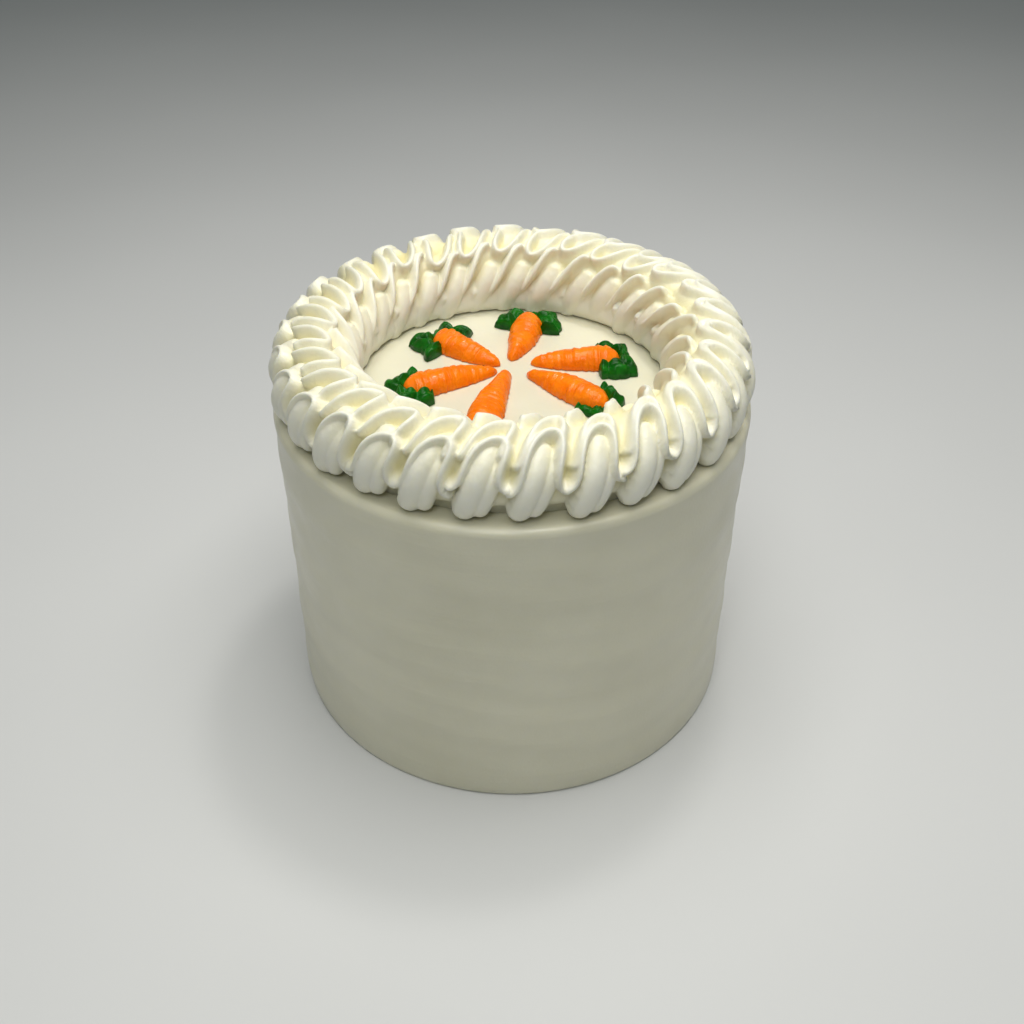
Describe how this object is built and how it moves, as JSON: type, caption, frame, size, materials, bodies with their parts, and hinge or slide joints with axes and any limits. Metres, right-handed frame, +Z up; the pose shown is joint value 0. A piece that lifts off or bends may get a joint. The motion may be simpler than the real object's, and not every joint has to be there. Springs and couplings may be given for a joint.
{
  "type": "carrot cake",
  "caption": "Tall round cake under smooth cream icing, with a rope border of piped icing round its top and small piped carrots with leafy tops lying on it like spokes.",
  "frame": {"origin": "middle of the flat underside", "axes": "+Z up through the middle of the cake; -Y is the front, which the picture shows"},
  "size_m": [0.1624, 0.1624, 0.1455],
  "materials": {
    "cream_icing": "smooth spread cream icing, satin, with faint marks of the spatula",
    "piped_icing": "piped cream icing, soft satin, in deep rounded ridges",
    "orange_icing": "bright orange piped icing, slightly wet",
    "green_icing": "deep green piped icing, slightly wet"
  },
  "bodies": {
    "root": {"frosted_cake": "cream_icing", "piped_border": "piped_icing", "carrot_1": "orange_icing", "carrot_2": "orange_icing", "carrot_3": "orange_icing", "carrot_4": "orange_icing", "carrot_5": "orange_icing", "carrot_6": "orange_icing", "carrot_top_1": "green_icing", "carrot_top_2": "green_icing", "carrot_top_3": "green_icing", "carrot_top_4": "green_icing", "carrot_top_5": "green_icing", "carrot_top_6": "green_icing"}
  },
  "joints": []
}
